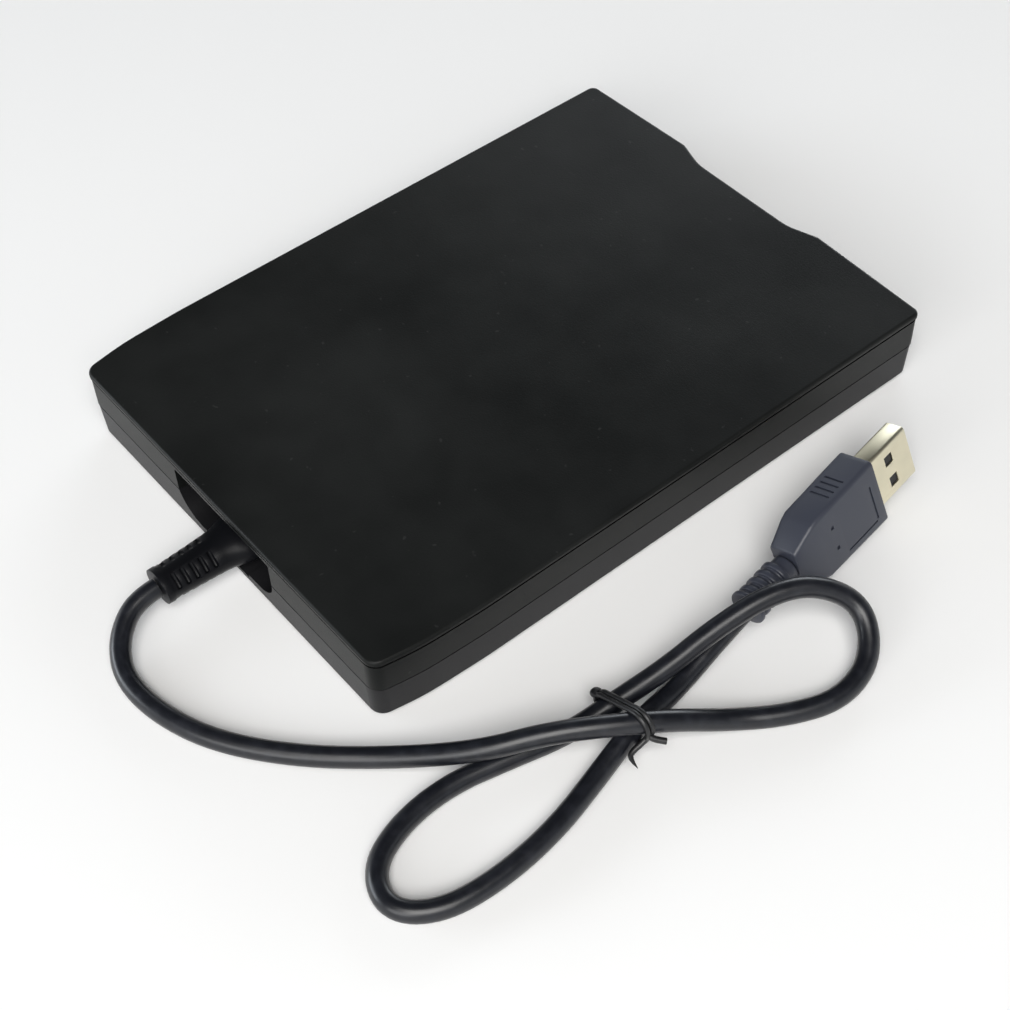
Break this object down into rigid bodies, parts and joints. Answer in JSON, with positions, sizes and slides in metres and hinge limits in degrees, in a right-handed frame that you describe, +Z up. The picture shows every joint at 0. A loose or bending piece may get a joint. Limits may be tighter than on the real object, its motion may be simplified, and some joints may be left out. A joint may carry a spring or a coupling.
{
  "type": "external floppy disk drive",
  "caption": "Slim external floppy disk drive: black case with disk slot, eject button and sliding head inside, tied cord with a flat plug.",
  "frame": {"origin": "centre of the drive's footprint on the surface it stands on, without the cord", "axes": "+Z up, the disk slot faces -Y, the cord leaves the rear towards +Y"},
  "size_m": [0.1546, 0.175, 0.0186],
  "materials": {
    "case_black": "fine grained",
    "panel_black": "satin",
    "rubber_black": "matt",
    "cord_black": "soft gloss",
    "plug_blue_black": "satin",
    "tie_black": "satin",
    "shell_metal": "bright",
    "tongue_black": "satin",
    "contact_gold": "bright",
    "zinc_sheet": "satin",
    "steel": "ground",
    "magnet_grey": "matt",
    "bronze": "sintered",
    "copper": "enamelled wire",
    "carriage_black": "moulded",
    "ceramic": "polished",
    "board_green": "solder mask",
    "chip_black": "moulded",
    "connector_white": "moulded",
    "flex_amber": "film",
    "light_green": "clear",
    "key_white": "moulded"
  },
  "bodies": {
    "case": {"top_cover": "case_black", "bottom_cover": "case_black", "front_bezel": "panel_black", "flap_spring": "steel", "activity_light": "light_green", "rubber_feet": "rubber_black", "case_screws": "steel", "chassis": "zinc_sheet", "chassis_screws": "steel", "eject_springs": "steel", "motor_board": "board_green", "spindle_bearing": "bronze", "spindle_stator": "copper", "guide_rods": "steel", "rod_clips": "carriage_black", "screw_bearing": "bronze", "motor_bracket": "zinc_sheet", "stepper_motor": "zinc_sheet", "track_sensor": "chip_black", "main_board": "board_green", "board_chips": "chip_black", "cable_connector": "connector_white", "flex_connector": "connector_white", "head_flex": "flex_amber", "protect_switch": "chip_black", "density_switch": "chip_black", "disk_switch": "chip_black", "cable_boot": "cord_black", "usb_cord": "cord_black", "inner_lead": "cord_black", "cord_tie": "tie_black", "plug_body": "plug_blue_black", "plug_shell": "shell_metal", "plug_tongue": "tongue_black", "plug_contacts": "contact_gold"},
    "eject_slide": {"cam_slide": "zinc_sheet", "eject_button": "panel_black"},
    "carrier": {"disk_carrier": "zinc_sheet", "carrier_pins": "steel", "lever_pivot": "steel", "lever_spring": "steel"},
    "shutter": {"shutter_lever": "zinc_sheet"},
    "flap": {"slot_flap": "panel_black"},
    "spindle": {"spindle_shaft": "steel", "spindle_rotor": "zinc_sheet", "rotor_magnet": "magnet_grey", "spindle_hub": "steel", "drive_pin": "steel"},
    "carriage": {"head_carriage": "carriage_black", "lower_head": "ceramic", "arm_pin": "steel", "arm_spring": "steel"},
    "arm": {"upper_arm": "carriage_black", "upper_head": "ceramic"},
    "screw": {"lead_screw": "steel"},
    "protect_key": {"protect_plunger": "key_white"},
    "density_key": {"density_plunger": "key_white"},
    "disk_key": {"disk_plunger": "key_white"}
  },
  "joints": [
    {"name": "eject_slide_travel", "type": "slide", "parent": "case", "child": "eject_slide", "axis": [0, -1, 0], "range_m": [0, 0.005], "deforming": ["eject_springs"]},
    {"name": "carrier_drop", "type": "slide", "parent": "case", "child": "carrier", "axis": [0, 0, -1], "range_m": [0, 0.0025]},
    {"name": "carriage_travel", "type": "slide", "parent": "case", "child": "carriage", "axis": [0, -1, 0], "range_m": [0, 0.0148]},
    {"name": "arm_lower", "type": "hinge", "parent": "carriage", "child": "arm", "pos_m": [0, 0.0515, 0.0146], "axis": [1, 0, 0], "range_deg": [0, 8.4]},
    {"name": "screw_spin", "type": "hinge", "parent": "case", "child": "screw", "pos_m": [0.026, 0.04, 0.0085], "axis": [0, 1, 0], "range_deg": [0, 1777]},
    {"name": "flap_swing", "type": "hinge", "parent": "case", "child": "flap", "pos_m": [0, -0.06575, 0.014], "axis": [-1, 0, 0], "range_deg": [-80, 0], "stiffness_Nm_per_rad": 0.0002},
    {"name": "spindle_spin", "type": "hinge", "parent": "case", "child": "spindle", "pos_m": [0, -0.016, 0.006], "axis": [0, 0, 1], "continuous": true},
    {"name": "shutter_swing", "type": "hinge", "parent": "carrier", "child": "shutter", "pos_m": [-0.038, 0.024, 0.0156], "axis": [0, 0, 1], "range_deg": [0, 45], "stiffness_Nm_per_rad": 0.001},
    {"name": "protect_press", "type": "slide", "parent": "case", "child": "protect_key", "axis": [0, 0, -1], "range_m": [0, 0.0015], "stiffness_N_per_m": 150},
    {"name": "density_press", "type": "slide", "parent": "case", "child": "density_key", "axis": [0, 0, -1], "range_m": [0, 0.0015], "stiffness_N_per_m": 150},
    {"name": "disk_press", "type": "slide", "parent": "case", "child": "disk_key", "axis": [0, 0, -1], "range_m": [0, 0.0015], "stiffness_N_per_m": 150}
  ],
  "couplings": [
    {"joint": "carrier_drop", "follows": "eject_slide_travel", "ratio": 0.5},
    {"joint": "arm_lower", "follows": "eject_slide_travel", "rad_per_m": 29.3},
    {"joint": "screw_spin", "follows": "carriage_travel", "rad_per_m": 2094.4}
  ]
}
